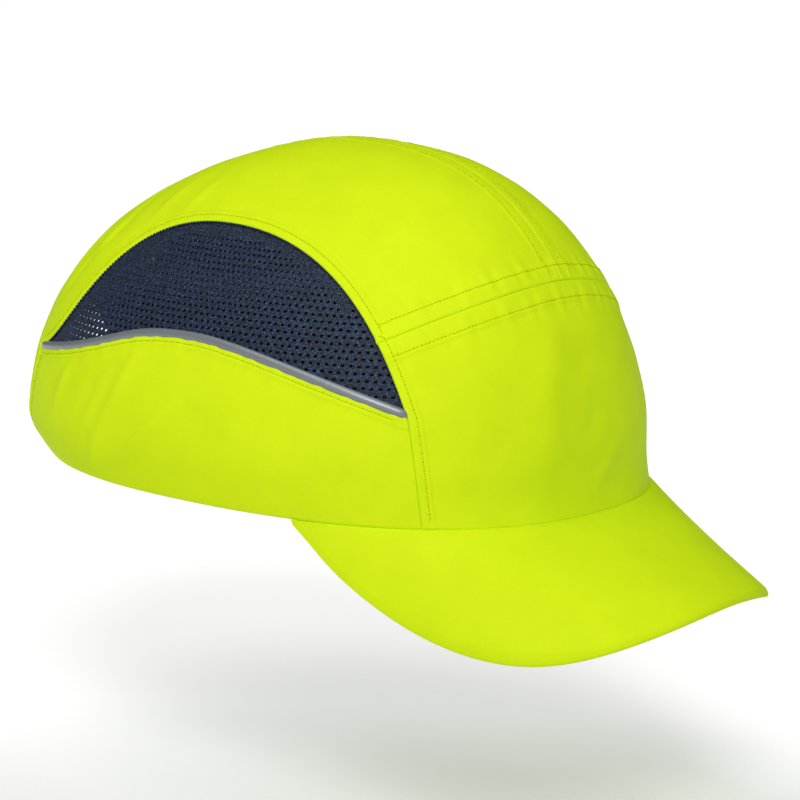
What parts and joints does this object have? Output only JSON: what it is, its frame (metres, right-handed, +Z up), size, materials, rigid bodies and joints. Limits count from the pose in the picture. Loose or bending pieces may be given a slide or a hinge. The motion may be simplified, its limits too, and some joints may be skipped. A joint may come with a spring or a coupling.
{
  "type": "bump cap",
  "caption": "Baseball-style bump cap: bright textile cap with mesh sides and a short stiff peak over a vented hard shell with foam pads, closed at the rear by a hook-and-loop strap.",
  "frame": {"origin": "centre of the head opening, in the plane of the hem, where the head goes in", "axes": "+Z up towards the top of the crown, -Y towards the peak, +X to the wearer's left"},
  "size_m": [0.1836, 0.275, 0.1518],
  "materials": {
    "cloth": "matt plain weave",
    "mesh": "warp-knit mesh",
    "piping": "retroreflective tape",
    "binding": "folded cloth binding",
    "board": "plain sheet",
    "terry": "terry towelling",
    "band_foam": "open-cell foam",
    "tape": "woven tape",
    "webbing": "woven strap",
    "loop": "loop pile",
    "hook": "hook tape",
    "shell": "fine satin grain",
    "pad": "closed-cell foam"
  },
  "bodies": {
    "cap": {"front_panel": "cloth", "crown_panel_left": "cloth", "crown_panel_right": "cloth", "side_panel_left": "cloth", "side_panel_right": "cloth", "peak_top_cover": "cloth", "peak_under_cover": "cloth", "mesh_insert_left": "mesh", "mesh_insert_right": "mesh", "reflective_piping_left": "piping", "reflective_piping_right": "piping", "rear_arch_binding": "binding", "peak_board": "board", "sweatband": "terry", "sweatband_foam": "band_foam", "centre_seam_tape": "tape", "front_seam_tape": "tape", "mesh_seam_tape_left": "tape", "mesh_seam_tape_right": "tape", "loop_strap": "webbing", "hook_strap_root": "webbing", "loop_patch": "loop"},
    "liner": {"inner_shell": "shell", "crown_pad": "pad", "front_pad": "pad", "rear_pad": "pad", "side_pad_left": "pad", "side_pad_right": "pad"},
    "strap": {"strap_fold": "webbing", "hook_strap": "webbing", "hook_patch": "hook"}
  },
  "joints": [
    {"name": "liner_slide", "type": "slide", "parent": "cap", "child": "liner", "axis": [0, 0, -1], "range_m": [0, 0.17]},
    {"name": "strap_peel", "type": "hinge", "parent": "cap", "child": "strap", "pos_m": [-0.03381, 0.10428, 0.004], "axis": [0, 0.2849, 0.9586], "range_deg": [0, 90]}
  ]
}
